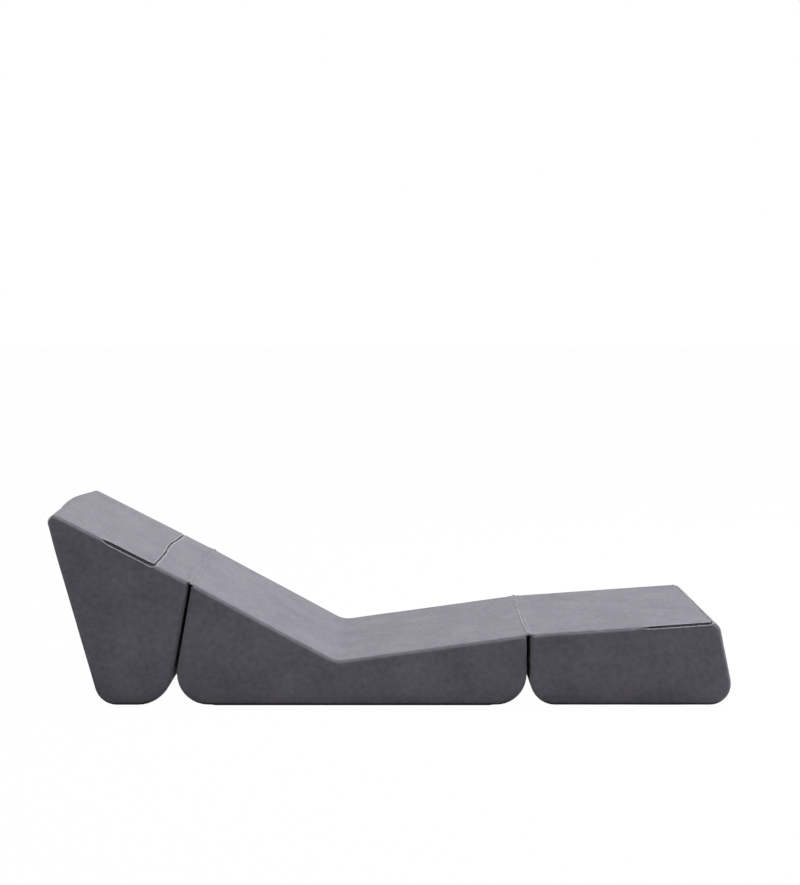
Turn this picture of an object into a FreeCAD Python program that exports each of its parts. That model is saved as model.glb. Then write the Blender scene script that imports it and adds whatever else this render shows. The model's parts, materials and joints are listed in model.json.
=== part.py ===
import FreeCAD
import Part
import Sketcher

import math
import os

# Convertible chair bed: three foam blocks in zipped covers, joined by two sewn fabric hinges.
# Lying open it is a single bed with a raised back and head end. The head block folds over onto
# the sloping back, and the foot block folds over onto the seat, and that makes the armless chair.
# The frame has X along the bed towards the foot end, Y across it and Z up from the floor.

Vector = FreeCAD.Vector
Placement = FreeCAD.Placement
Rotation = FreeCAD.Rotation

# Driving dimensions, in millimetres and degrees
SIZES = [
    ("bed_width", 700.0, "width of every block"),
    ("vee_height", 132.0, "seat surface above the floor at the bend of the seat block"),
    ("back_length", 484.0, "sloping back, from the bend to the head hinge"),
    ("back_angle", 28.4, "slope of the back above level"),
    ("seat_length", 568.0, "seat, from the bend to the foot hinge"),
    ("seat_angle", 7.9, "slope of the seat above level"),
    ("rear_face_lean", 10.3, "lean of the two faces that meet under the head hinge"),
    ("head_top_length", 483.0, "head block, from the hinge to its nose"),
    ("head_top_angle", 27.2, "slope of the head block's top"),
    ("head_face_lean", 15.4, "lean of the head block's outer face, the backrest of the chair"),
    ("foot_top_length", 558.0, "foot block, from the hinge to its free end"),
    ("foot_top_angle", 4.0, "slope of the foot block's top"),
    ("foot_face_lean", 11.8, "lean of the foot block's free end"),
    ("edge_round", 14.0, "rounding round both side faces of every block"),
    ("hinge_corner_round", 7.0, "rounding of the four corners at the hinges"),
    ("vee_round", 80.0, "soft bend between the back and the seat"),
    ("rear_base_round", 92.0, "lower rear corner of the seat block"),
    ("front_base_round", 90.0, "lower front corner of the seat block"),
    ("head_nose_round", 22.0, "nose of the head block"),
    ("head_outer_base_round", 66.0, "lower outer corner of the head block"),
    ("head_inner_base_round", 104.0, "lower inner corner of the head block"),
    ("foot_end_top_round", 35.0, "upper free corner of the foot block"),
    ("foot_end_base_round", 62.0, "lower free corner of the foot block"),
    ("foot_inner_base_round", 74.0, "lower inner corner of the foot block"),
    ("hinge_gap", 10.0, "space between two neighbouring blocks"),
    ("hinge_rise", 2.6, "fold line above the block tops"),
    ("strip_dome", 3.6, "hinge strip above the block tops"),
    ("strip_depth", 16.0, "hinge strip down into the gap"),
    ("strip_inset", 4.0, "end of a hinge strip inside the side faces"),
    ("cover_thickness", 2.0, "cover fabric with its backing"),
    ("layer_clear", 0.3, "space between two layers, or beside a moving piece"),
    ("seam_inset", 4.0, "seam of a side panel inside the side face"),
    ("base_proud", 1.5, "base panel below the cover"),
    ("base_margin", 22.0, "edge of the base panel inside the side faces"),
    ("base_setback", 6.0, "edge of the base panel inside the flat of the block"),
    ("fibre_thickness", 12.0, "fibre pad under the cover"),
    ("comfort_thickness", 40.0, "soft foam under the fibre pad"),
    ("slot_width", 9.0, "opening in the cover along a zip"),
    ("slot_drop", 4.0, "zip on a side face below the block's top"),
    ("lip_width", 5.0, "folded fabric lip beside the opening"),
    ("lip_height", 1.1, "thickness of that lip"),
    ("lip_reach", 8.0, "lip round a side face's edge, inside that face"),
    ("tape_width", 8.0, "zip tape under the cover, beside the opening"),
    ("tape_thickness", 0.8, "zip tape"),
    ("chain_width", 5.4, "closed zip coil"),
    ("chain_recess", 0.8, "zip coil below the outside of the cover"),
    ("head_zip_place", 116.0, "cross run of the head zip, from the hinge"),
    ("head_zip_leg", 176.0, "side run of the head zip"),
    ("foot_zip_setback", 21.0, "cross run of the foot zip, from the free end"),
    ("foot_zip_leg", 218.0, "side run of the foot zip"),
    ("seat_zip_angle", 36.0, "seat zip round the lower rear corner, below level"),
    ("seat_zip_margin", 60.0, "ends of the seat zip inside the side faces"),
    ("stop_length", 3.0, "zip end stop along the zip"),
    ("slider_length", 11.0, "zip slider along the zip"),
    ("slider_width", 6.6, "zip slider across the zip"),
    ("slider_plate", 2.2, "zip slider plate"),
    ("slider_park", 5.0, "slider at rest, from the end stop"),
    ("bridge_length", 5.0, "slider bridge along the zip"),
    ("bridge_width", 2.4, "slider bridge across the zip"),
    ("bridge_height", 3.0, "slider bridge above its plate"),
    ("pull_length", 24.0, "pull tab, from the bridge to its tip"),
    ("pull_width", 6.0, "pull tab"),
    ("pull_thickness", 1.3, "pull tab"),
]

doc = FreeCAD.newDocument("ChairBed")
sheet = doc.addObject("Spreadsheet::Sheet", "Sizes")
for row, (alias, value, note) in enumerate(SIZES, start=1):
    sheet.set("A%d" % row, alias)
    sheet.set("B%d" % row, str(value))
    sheet.setAlias("B%d" % row, alias)
    sheet.set("C%d" % row, note)
doc.recompute()


def size(alias):
    return float(sheet.get(alias))


def sin(angle):
    return math.sin(math.radians(angle))


def cos(angle):
    return math.cos(math.radians(angle))


def tan(angle):
    return math.tan(math.radians(angle))


# Outline of the whole bed, seen from its side, with the bend of the seat above X = 0

back_angle = size("back_angle")
seat_angle = size("seat_angle")
head_angle = size("head_top_angle")
foot_angle = size("foot_top_angle")
rear_lean = size("rear_face_lean")
half_width = size("bed_width") / 2
half_gap = size("hinge_gap") / 2

vee = Vector(0, 0, size("vee_height"))
head_hinge = vee + Vector(-cos(back_angle), 0, sin(back_angle)) * size("back_length")
foot_hinge = vee + Vector(cos(seat_angle), 0, sin(seat_angle)) * size("seat_length")

# A block's corner lies beside the hinge by half the gap, measured along its own top.
back_corner_gap = half_gap / cos(back_angle - rear_lean)
head_corner_gap = half_gap / cos(head_angle - rear_lean)
seat_corner_gap = half_gap / cos(seat_angle)
foot_corner_gap = half_gap / cos(foot_angle)


def floor_under(corner, lean):
    """Floor end of a face that goes down from a corner and leans outwards to +X with its foot."""
    return Vector(corner.x + corner.z * tan(lean), 0, 0)


seat_rear = head_hinge + Vector(cos(back_angle), 0, -sin(back_angle)) * back_corner_gap
seat_front = foot_hinge - Vector(cos(seat_angle), 0, sin(seat_angle)) * seat_corner_gap
seat_corners = [
    seat_rear,
    vee,
    seat_front,
    floor_under(seat_front, 0),
    floor_under(seat_rear, -rear_lean),
]

head_run = Vector(-cos(head_angle), 0, sin(head_angle))
head_inner = head_hinge + head_run * head_corner_gap
head_nose = head_hinge + head_run * size("head_top_length")
head_corners = [
    head_inner,
    head_nose,
    floor_under(head_nose, size("head_face_lean")),
    floor_under(head_inner, -rear_lean),
]

foot_run = Vector(cos(foot_angle), 0, sin(foot_angle))
foot_inner = foot_hinge + foot_run * foot_corner_gap
foot_end = foot_hinge + foot_run * size("foot_top_length")
foot_corners = [
    foot_inner,
    foot_end,
    floor_under(foot_end, size("foot_face_lean")),
    floor_under(foot_inner, 0),
]


def round_at(corners, index, radius):
    """Centre of a corner's rounding, and how far its arc reaches back along the two sides."""
    here = corners[index]
    to_last = (corners[index - 1] - here).normalize()
    to_next = (corners[(index + 1) % len(corners)] - here).normalize()
    half_angle = to_last.getAngle(to_next) / 2
    centre = here + (to_last + to_next).normalize() * (radius / math.sin(half_angle))
    return centre, radius / math.tan(half_angle)


nose_centre, nose_reach = round_at(head_corners, 1, size("head_nose_round"))
end_centre, end_reach = round_at(foot_corners, 2, size("foot_end_base_round"))
leftmost = nose_centre.x - size("head_nose_round")
rightmost = end_centre.x + size("foot_end_base_round")
to_frame = Vector(-(leftmost + rightmost) / 2, 0, size("base_proud"))
beyond = (rightmost - leftmost) + size("bed_width")


# Building blocks of the model

def add(kind, name):
    item = doc.addObject(kind, name)
    item.Label = name
    return item


def bind(item, **expressions):
    for prop, expression in expressions.items():
        item.setExpression(prop.replace("__", "."), expression)


def rule(sketch, constraint, name, expression):
    """Adds a sketch constraint whose value comes from the spreadsheet."""
    index = sketch.addConstraint(constraint)
    sketch.renameConstraint(index, name)
    sketch.setExpression("Constraints." + name, expression)


def outline(body, name, corners):
    """A closed outline of straight lines on the body's XZ plane."""
    sketch = body.newObject("Sketcher::SketchObject", name)
    plane = [f for f in body.Origin.OriginFeatures if f.Role == "XZ_Plane"][0]
    sketch.AttachmentSupport = [(plane, "")]
    sketch.MapMode = "FlatFace"
    sketch.AttachmentOffset = Placement(Vector(to_frame.x, to_frame.z, 0), Rotation())
    flat = [Vector(c.x, c.z, 0) for c in corners]
    count = len(flat)
    for i in range(count):
        sketch.addGeometry(Part.LineSegment(flat[i], flat[(i + 1) % count]), False)
    for i in range(count):
        sketch.addConstraint(Sketcher.Constraint("Coincident", i, 2, (i + 1) % count, 1))
    return sketch


def line_angle(line, angle):
    return Sketcher.Constraint("Angle", line, math.radians(angle))


def on_floor(sketch, line):
    for end in (1, 2):
        sketch.addConstraint(Sketcher.Constraint("PointOnObject", line, end, -1))


def cross_edges(shape, corner):
    """Names of the edges that run across the bed at a corner of the outline."""
    found = []
    for index, edge in enumerate(shape.Edges, start=1):
        middle = edge.CenterOfMass - to_frame
        along = edge.tangentAt(edge.FirstParameter)
        beside = math.hypot(middle.x - corner.x, middle.z - corner.z)
        if abs(along.y) > 0.999 and beside < 0.05:
            found.append("Edge%d" % index)
    return found


def side_faces(shape):
    return ["Face%d" % index for index, face in enumerate(shape.Faces, start=1)
            if abs(abs(face.CenterOfMass.y) - half_width) < 0.01]


def round_off(body, base, name, picked, alias):
    fillet = body.newObject("PartDesign::Fillet", name)
    fillet.Base = (base, picked)
    bind(fillet, Radius="Sizes." + alias)
    doc.recompute()
    return fillet


def block(name, corners, rules, rounds):
    """A foam block's outside, as the cover shows it: padded outline with every corner rounded."""
    body = add("PartDesign::Body", name + "_outside")
    sketch = outline(body, name + "_outline", corners)
    rules(sketch)
    pad = body.newObject("PartDesign::Pad", name + "_pad")
    pad.Profile = sketch
    pad.SideType = "Symmetric"
    bind(pad, Length="Sizes.bed_width")
    doc.recompute()
    last = pad
    for index, alias in rounds:
        picked = cross_edges(last.Shape, corners[index])
        last = round_off(body, last, "%s_round_%d" % (name, index), picked, alias)
    last = round_off(body, last, name + "_rim", side_faces(last.Shape), "edge_round")
    body.Tip = last
    doc.recompute()
    return body


def seat_rules(sketch):
    rule(sketch, line_angle(0, -back_angle), "back_slope", "-Sizes.back_angle * 1deg")
    rule(sketch, line_angle(1, seat_angle), "seat_slope", "Sizes.seat_angle * 1deg")
    rule(sketch, Sketcher.Constraint("Distance", 0, size("back_length") - back_corner_gap), "back",
         "Sizes.back_length - Sizes.hinge_gap / 2 / cos(Sizes.back_angle - Sizes.rear_face_lean)")
    rule(sketch, Sketcher.Constraint("Distance", 1, size("seat_length") - seat_corner_gap), "seat",
         "Sizes.seat_length - Sizes.hinge_gap / 2 / cos(Sizes.seat_angle)")
    rule(sketch, Sketcher.Constraint("DistanceY", -1, 1, 1, 1, vee.z), "bend_height",
         "Sizes.vee_height")
    sketch.addConstraint(Sketcher.Constraint("PointOnObject", 1, 1, -2))
    sketch.addConstraint(Sketcher.Constraint("Vertical", 2))
    on_floor(sketch, 3)
    rule(sketch, line_angle(4, 90 - rear_lean), "rear_lean", "(90 - Sizes.rear_face_lean) * 1deg")


def head_rules(sketch):
    rule(sketch, Sketcher.Constraint("DistanceX", 0, 1, -1, 1, -head_inner.x), "inner_x",
         "Sizes.back_length * cos(Sizes.back_angle) + Sizes.hinge_gap / 2 * "
         "cos(Sizes.head_top_angle) / cos(Sizes.head_top_angle - Sizes.rear_face_lean)")
    rule(sketch, Sketcher.Constraint("DistanceY", -1, 1, 0, 1, head_inner.z), "inner_z",
         "Sizes.vee_height + Sizes.back_length * sin(Sizes.back_angle) + Sizes.hinge_gap / 2 * "
         "sin(Sizes.head_top_angle) / cos(Sizes.head_top_angle - Sizes.rear_face_lean)")
    rule(sketch, Sketcher.Constraint("Distance", 0, size("head_top_length") - head_corner_gap),
         "top", "Sizes.head_top_length - Sizes.hinge_gap / 2 / "
         "cos(Sizes.head_top_angle - Sizes.rear_face_lean)")
    rule(sketch, line_angle(0, 180 - head_angle), "top_slope",
         "(180 - Sizes.head_top_angle) * 1deg")
    rule(sketch, line_angle(1, size("head_face_lean") - 90), "outer_lean",
         "(Sizes.head_face_lean - 90) * 1deg")
    on_floor(sketch, 2)
    rule(sketch, line_angle(3, 90 - rear_lean), "inner_lean", "(90 - Sizes.rear_face_lean) * 1deg")


def foot_rules(sketch):
    rule(sketch, Sketcher.Constraint("DistanceX", -1, 1, 0, 1, foot_inner.x), "inner_x",
         "Sizes.seat_length * cos(Sizes.seat_angle) + Sizes.hinge_gap / 2")
    rule(sketch, Sketcher.Constraint("DistanceY", -1, 1, 0, 1, foot_inner.z), "inner_z",
         "Sizes.vee_height + Sizes.seat_length * sin(Sizes.seat_angle) + "
         "Sizes.hinge_gap / 2 * tan(Sizes.foot_top_angle)")
    rule(sketch, Sketcher.Constraint("Distance", 0, size("foot_top_length") - foot_corner_gap),
         "top", "Sizes.foot_top_length - Sizes.hinge_gap / 2 / cos(Sizes.foot_top_angle)")
    rule(sketch, line_angle(0, foot_angle), "top_slope", "Sizes.foot_top_angle * 1deg")
    rule(sketch, line_angle(1, size("foot_face_lean") - 90), "end_lean",
         "(Sizes.foot_face_lean - 90) * 1deg")
    on_floor(sketch, 2)
    sketch.addConstraint(Sketcher.Constraint("Vertical", 3))


# Surfaces at a set depth inside the cover's outside, or at a set height above it
LEVELS = {
    "lip_top": "Sizes.layer_clear + Sizes.lip_height",
    "lip_under": "Sizes.layer_clear",
    "coil_top": "-Sizes.chain_recess",
    "cover_under": "-Sizes.cover_thickness",
    "filling": "-(Sizes.cover_thickness + Sizes.layer_clear)",
    "tape_under": "-(Sizes.cover_thickness + Sizes.layer_clear + Sizes.tape_thickness)",
    "groove": "-(Sizes.cover_thickness + 2 * Sizes.layer_clear + Sizes.tape_thickness)",
}


def levels_of(name, body):
    found = {"outside": body}
    for level, expression in LEVELS.items():
        surface = add("Part::Offset", "%s_%s_level" % (name, level))
        surface.Source = body
        surface.Mode = "Skin"
        surface.Join = "Arc"
        bind(surface, Value=expression)
        found[level] = surface
    doc.recompute()
    return found


def cut(name, base, tool):
    item = add("Part::Cut", name)
    item.Base = base
    item.Tool = tool
    return item


def common(name, base, tool):
    item = add("Part::Common", name)
    item.Base = base
    item.Tool = tool
    return item


def strip(name, region, over, under):
    """The part of a region that lies between two levels of a block."""
    return cut(name, common(name + "_slice", over, region), under)


def fuse(name, items):
    if len(items) == 1:
        return items[0]
    item = add("Part::MultiFuse", name)
    item.Shapes = items
    return item


def box(name, frame, low, high):
    """A box between two corners that are given in a frame of its own."""
    item = add("Part::Box", name)
    item.Length = high.x - low.x
    item.Width = high.y - low.y
    item.Height = high.z - low.z
    item.Placement = frame.multiply(Placement(low, Rotation()))
    return item


def frame_at(point, slope):
    """Frame on a surface: X runs up the slope away from +X or -X, Z leaves the block."""
    turn = Rotation(Vector(0, 1, 0), -slope)
    return Placement(point + to_frame, turn)


back_frame = frame_at(vee, -back_angle)
seat_frame = frame_at(vee, seat_angle)
head_frame = frame_at(head_hinge, -head_angle)
foot_frame = frame_at(foot_hinge, foot_angle)


def filling(name, levels, grooved, tops):
    """Fibre pad, soft foam and firm core, parted along planes that follow the block's top."""
    fibre_floor = size("cover_thickness") + size("layer_clear") + size("fibre_thickness")
    comfort_floor = fibre_floor + size("comfort_thickness")
    below = []
    for depth, label in ((fibre_floor, "fibre"), (comfort_floor, "comfort")):
        boxes = [box("%s_below_%s_%d" % (name, label, index), frame,
                     Vector(-beyond, -beyond, -beyond), Vector(beyond, beyond, -depth))
                 for index, frame in enumerate(tops)]
        below.append(fuse("%s_below_%s" % (name, label), boxes))
    under_fibre = common(name + "_under_fibre", grooved, below[0])
    return [
        cut(name + "_fibre_pad", grooved, below[0]),
        cut(name + "_comfort_foam", under_fibre, below[1]),
        common(name + "_foam_core", under_fibre, below[1]),
    ]


def cover(name, levels, slot, flat_from, flat_to):
    """Band over the top and ends, a panel on each side, and the dark panel underneath."""
    level = Placement(to_frame, Rotation())
    seam = half_width - size("seam_inset")
    base_half = half_width - size("base_margin")
    base = add("Part::Box", name + "_base_panel")
    base.Length = flat_to - flat_from - 2 * size("base_setback")
    bind(base, Width="Sizes.bed_width - 2 * Sizes.base_margin",
         Height="Sizes.base_proud + Sizes.cover_thickness")
    corner = Vector(flat_from + size("base_setback"), -base_half, -size("base_proud"))
    base.Placement = level.multiply(Placement(corner, Rotation()))
    openings = fuse(name + "_openings", [slot, base])
    pieces = [base]
    for label, start, end in (("cover_band", -seam, seam), ("cover_near_side", -beyond, -seam),
                              ("cover_far_side", seam, beyond)):
        region = box("%s_%s_region" % (name, label), level, Vector(-beyond, start, -beyond),
                     Vector(beyond, end, beyond))
        closed = strip("%s_%s_closed" % (name, label), region, levels["outside"],
                       levels["cover_under"])
        pieces.append(cut("%s_%s" % (name, label), closed, openings))
    return pieces


class CornerZip:
    """A zip that crosses a block's top and turns down to run along both of its side faces."""

    def __init__(self, name, frame, place, leg, way):
        self.name = name
        self.frame = frame
        self.place = place
        self.leg = leg
        self.way = way
        self.middle = -(size("slot_drop") + size("slot_width") / 2)

    def span(self, start, end):
        """Two distances along the side run, from the cross run, as places from the hinge."""
        ends = (self.place + self.way * start, self.place + self.way * end)
        return min(ends), max(ends)

    def region(self, label, half, reach, short=0.0):
        """Everything within half a width of the zip's line, down to a reach inside the side."""
        wide = beyond
        leg_low, leg_high = self.span(-half, self.leg - short)
        low_z, high_z = self.middle - half, self.middle + half
        parts = [box("%s_%s_cross" % (self.name, label), self.frame,
                     Vector(self.place - half, -wide, low_z), Vector(self.place + half, wide, wide))]
        for side, word in ((-1, "near"), (1, "far")):
            sides = sorted((side * (half_width - reach), side * wide))
            parts.append(box("%s_%s_%s" % (self.name, label, word), self.frame,
                             Vector(leg_low, sides[0], low_z), Vector(leg_high, sides[1], high_z)))
        return fuse("%s_%s" % (self.name, label), parts)

    def flap_side(self):
        """The part of the block's top that the zip frees."""
        low, high = self.span(0, beyond)
        return box(self.name + "_flap_side", self.frame, Vector(low, -beyond, self.middle),
                   Vector(high, beyond, beyond))

    def stop_boxes(self):
        low, high = self.span(self.leg - size("stop_length") - size("layer_clear"),
                              self.leg - size("layer_clear"))
        half = size("chain_width") / 2
        boxes = []
        for side, word in ((-1, "near"), (1, "far")):
            sides = sorted((side * (half_width - size("base_margin")), side * beyond))
            boxes.append(box("%s_stop_%s" % (self.name, word), self.frame,
                             Vector(low, sides[0], self.middle - half),
                             Vector(high, sides[1], self.middle + half)))
        return fuse(self.name + "_stop_boxes", boxes)

    def slider_frame(self):
        """On the far side face, X back along the zip from its end stop and Z out of the block."""
        rounding = size("edge_round")
        lift = math.degrees(math.asin((rounding + self.middle) / rounding))
        start = self.leg - size("stop_length") - 2 * size("layer_clear") - size("slider_park")
        place = self.place + self.way * (start - size("slider_length") / 2)
        point = Vector(place, half_width - rounding * (1 - cos(lift)), self.middle)
        outward = Vector(0, cos(lift), sin(lift))
        along = Vector(-self.way, 0, 0)
        turn = Rotation(along, outward.cross(along), outward, "XZY")
        return self.frame.multiply(Placement(point, turn))


class StraightZip:
    """A zip across the lower rear corner of the seat block."""

    def __init__(self, name, centre, radius, angle):
        self.name = name
        self.half_run = half_width - size("seat_zip_margin")
        point = centre + Vector(-cos(angle), 0, -sin(angle)) * radius
        turn = Rotation(Vector(0, 1, 0), -(90 + angle))
        self.frame = Placement(point + to_frame, turn)

    def region(self, label, half, reach, short=0.0):
        run = self.half_run + max(half - size("slot_width") / 2, 0) - short
        deep = size("base_margin")
        return box("%s_%s" % (self.name, label), self.frame, Vector(-half, -run, -deep),
                   Vector(half, run, deep))

    def flap_side(self):
        return box(self.name + "_flap_side", self.frame, Vector(0, -beyond, -beyond),
                   Vector(beyond, beyond, beyond))

    def stop_boxes(self):
        half = size("chain_width") / 2
        deep = size("base_margin")
        boxes = []
        for side, word in ((-1, "near"), (1, "far")):
            ends = sorted((side * (self.half_run - size("layer_clear")),
                           side * (self.half_run - size("layer_clear") - size("stop_length"))))
            boxes.append(box("%s_stop_%s" % (self.name, word), self.frame,
                             Vector(-half, ends[0], -deep), Vector(half, ends[1], deep)))
        return fuse(self.name + "_stop_boxes", boxes)

    def slider_frame(self):
        start = self.half_run - size("stop_length") - 2 * size("layer_clear") - size("slider_park")
        point = Vector(0, start - size("slider_length") / 2, 0)
        turn = Rotation(Vector(0, -1, 0), Vector(1, 0, 0), Vector(0, 0, 1), "XZY")
        return self.frame.multiply(Placement(point, turn))


def zip_pieces(zipper, levels):
    """Lips, tapes, coil and end stops, each a slice between two levels of the block."""
    name = zipper.name
    half_slot = size("slot_width") / 2
    half_coil = size("chain_width") / 2
    clear = size("layer_clear")
    deep = size("base_margin")
    coil_short = size("stop_length") + 2 * clear
    slot = zipper.region("slot", half_slot, size("edge_round"))
    lips = zipper.region("lip_area", half_slot + size("lip_width"), size("lip_reach"))
    tapes = zipper.region("tape_area", half_slot + size("tape_width"), deep)
    split = zipper.region("coil_line", half_coil + clear, deep + clear, -beyond)
    coil_area = zipper.region("coil_area", half_coil, deep, coil_short)
    flap_side = zipper.flap_side()
    lip_ring = cut(name + "_lip_ring",
                   strip(name + "_lip_strip", lips, levels["lip_top"], levels["lip_under"]), slot)
    tape_ring = cut(name + "_tape_ring",
                    strip(name + "_tape_strip", tapes, levels["filling"], levels["tape_under"]),
                    split)
    pieces = [
        common(name + "_flap_lip", lip_ring, flap_side),
        cut(name + "_fixed_lip", lip_ring, flap_side),
        common(name + "_flap_tape", tape_ring, flap_side),
        cut(name + "_fixed_tape", tape_ring, flap_side),
        strip(name + "_coil", coil_area, levels["coil_top"], levels["tape_under"]),
        strip(name + "_end_stops", zipper.stop_boxes(), levels["coil_top"],
              levels["tape_under"]),
    ]
    groove = cut(name + "_groove_area",
                 zipper.region("groove_reach", half_slot + size("tape_width") + clear, deep + clear),
                 levels["groove"])
    return pieces, slot, groove


def slider(zipper):
    """Slider plate with the bridge that holds the pull tab."""
    frame = zipper.slider_frame()
    name = zipper.name
    plate = add("Part::Box", name + "_slider_plate")
    bind(plate, Length="Sizes.slider_length", Width="Sizes.slider_width",
         Height="Sizes.slider_plate")
    low = Vector(-size("slider_length") / 2, -size("slider_width") / 2,
                 size("layer_clear") - size("chain_recess"))
    plate.Placement = frame.multiply(Placement(low, Rotation()))
    arch = add("Part::Box", name + "_slider_arch")
    bind(arch, Length="Sizes.bridge_length", Width="Sizes.bridge_width",
         Height="Sizes.bridge_height")
    seat = Vector(-size("bridge_length") / 2, -size("bridge_width") / 2,
                  low.z + size("slider_plate"))
    arch.Placement = frame.multiply(Placement(seat, Rotation()))
    eye = add("Part::Cylinder", name + "_slider_eye")
    eye.Radius = size("pull_thickness") / 2 + size("layer_clear")
    eye.Height = 2 * size("bridge_width")
    across = Rotation(Vector(1, 0, 0), 90)
    pivot = Vector(0, 0, seat.z + size("bridge_height") / 2)
    eye.Placement = frame.multiply(Placement(pivot + Vector(0, size("bridge_width"), 0), across))
    doc.recompute()
    rounded = add("Part::Fillet", name + "_slider_rounded")
    rounded.Base = plate
    upright = [i for i, edge in enumerate(plate.Shape.Edges, start=1)
               if abs(edge.Length - size("slider_plate")) < 1e-6]
    rounded.Edges = [(i, size("slider_width") / 4, size("slider_width") / 4) for i in upright]
    body = fuse(name + "_slider_body", [rounded, arch])
    return cut(name + "_slider", body, eye), frame, pivot


def pull(zipper, frame, pivot):
    """Pull tab: a loop through the bridge's eye, and a flat tab with a rounded tip."""
    name = zipper.name
    thick = size("pull_thickness")
    wire = thick / 2
    ring_half = size("bridge_width") / 2 + size("layer_clear") + wire
    start = size("bridge_length") / 2 + size("layer_clear") + thick
    pin = add("Part::Cylinder", name + "_pull_pin")
    pin.Radius = wire
    pin.Height = 2 * ring_half
    across = Rotation(Vector(1, 0, 0), 90)
    pin.Placement = frame.multiply(Placement(pivot + Vector(0, ring_half, 0), across))
    parts = [pin]
    for side, word in ((-1, "left"), (1, "right")):
        y = side * ring_half
        ends = sorted((y - wire, y + wire))
        parts.append(box("%s_pull_%s_arm" % (name, word), frame,
                         pivot + Vector(-wire, ends[0], -wire),
                         pivot + Vector(start + thick, ends[1], wire)))
    tab = box(name + "_pull_tab", frame, pivot + Vector(start, -size("pull_width") / 2, -wire),
              pivot + Vector(size("pull_length"), size("pull_width") / 2, wire))
    doc.recompute()
    rounded = add("Part::Fillet", name + "_pull_rounded")
    rounded.Base = tab
    upright = [i for i, edge in enumerate(tab.Shape.Edges, start=1)
               if abs(edge.Length - thick) < 1e-6]
    rounded.Edges = [(i, size("pull_width") / 4, size("pull_width") / 4) for i in upright]
    parts.append(rounded)
    return fuse(name + "_pull", parts)


def hinge_strip(name, point, slope, wall_tilt):
    """Sewn fabric hinge: a soft strip that fills the gap and domes above both block tops."""
    body = add("PartDesign::Body", name)
    sketch = body.newObject("Sketcher::SketchObject", name + "_section")
    plane = [f for f in body.Origin.OriginFeatures if f.Role == "XZ_Plane"][0]
    sketch.AttachmentSupport = [(plane, "")]
    sketch.MapMode = "FlatFace"
    half = (half_gap - size("layer_clear")) / cos(wall_tilt)
    lean = size("strip_depth") * tan(wall_tilt)
    deep = size("strip_depth")
    right, left = Vector(half, 0, 0), Vector(-half, 0, 0)
    low_left, low_right = Vector(lean - half, -deep, 0), Vector(lean + half, -deep, 0)
    sketch.addGeometry(Part.LineSegment(left, low_left), False)
    sketch.addGeometry(Part.LineSegment(low_left, low_right), False)
    sketch.addGeometry(Part.LineSegment(low_right, right), False)
    sketch.addGeometry(Part.Arc(right, Vector(0, size("strip_dome"), 0), left), False)
    for first, second in ((0, 1), (1, 2)):
        sketch.addConstraint(Sketcher.Constraint("Coincident", first, 2, second, 1))
    sketch.addConstraint(Sketcher.Constraint("Coincident", 2, 2, 3, 1))
    sketch.addConstraint(Sketcher.Constraint("Coincident", 3, 2, 0, 1))
    sketch.addConstraint(Sketcher.Constraint("Horizontal", 1))
    sketch.addConstraint(Sketcher.Constraint("Parallel", 0, 2))
    sketch.addConstraint(Sketcher.Constraint("Symmetric", 0, 1, 2, 2, -1, 1))
    sketch.addConstraint(Sketcher.Constraint("PointOnObject", 0, 1, -1))
    rule(sketch, Sketcher.Constraint("DistanceY", 0, 2, 0, 1, deep), "depth", "Sizes.strip_depth")
    sketch.addConstraint(Sketcher.Constraint("DistanceX", 0, 1, 2, 2, 2 * half))
    sketch.addConstraint(Sketcher.Constraint("DistanceX", 0, 1, 0, 2, lean))
    dome = size("strip_dome")
    sketch.addConstraint(Sketcher.Constraint("Radius", 3, (half * half + dome * dome) / 2 / dome))
    pad = body.newObject("PartDesign::Pad", name + "_pad")
    pad.Profile = sketch
    pad.SideType = "Symmetric"
    bind(pad, Length="Sizes.bed_width - 2 * Sizes.strip_inset")
    doc.recompute()
    body.Tip = pad
    body.Placement = frame_at(point, slope)
    return body


# The three blocks

seat = block("seat", seat_corners, seat_rules, [
    (0, "hinge_corner_round"), (1, "vee_round"), (2, "hinge_corner_round"),
    (3, "front_base_round"), (4, "rear_base_round")])
head = block("head", head_corners, head_rules, [
    (0, "hinge_corner_round"), (1, "head_nose_round"), (2, "head_outer_base_round"),
    (3, "head_inner_base_round")])
foot = block("foot", foot_corners, foot_rules, [
    (0, "hinge_corner_round"), (1, "foot_end_top_round"), (2, "foot_end_base_round"),
    (3, "foot_inner_base_round")])

rear_centre, rear_reach = round_at(seat_corners, 4, size("rear_base_round"))
zips = {
    "head": CornerZip("head_zip", head_frame,
                      -size("head_zip_place"), size("head_zip_leg"), -1),
    "foot": CornerZip("foot_zip", foot_frame,
                      size("foot_top_length") - size("foot_zip_setback"),
                      size("foot_zip_leg"), -1),
    "seat": StraightZip("seat_zip", rear_centre, size("rear_base_round"),
                        size("seat_zip_angle")),
}
flats = {
    "seat": (seat_corners[4].x + rear_reach,
             seat_corners[3].x - round_at(seat_corners, 3, size("front_base_round"))[1]),
    "head": (head_corners[2].x + round_at(head_corners, 2, size("head_outer_base_round"))[1],
             head_corners[3].x - round_at(head_corners, 3, size("head_inner_base_round"))[1]),
    "foot": (foot_corners[3].x + round_at(foot_corners, 3, size("foot_inner_base_round"))[1],
             foot_corners[2].x - end_reach),
}
tops = {"seat": [back_frame, seat_frame], "head": [head_frame], "foot": [foot_frame]}

parts = []
for name, body in (("head", head), ("seat", seat), ("foot", foot)):
    levels = levels_of(name, body)
    zipper = zips[name]
    pieces, slot, groove = zip_pieces(zipper, levels)
    grooved = cut(name + "_grooved", levels["filling"], groove)
    parts += filling(name, levels, grooved, tops[name])
    parts += cover(name, levels, slot, *flats[name])
    parts += pieces
    zip_slider, slider_frame, pivot = slider(zipper)
    parts += [zip_slider, pull(zipper, slider_frame, pivot)]

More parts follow.
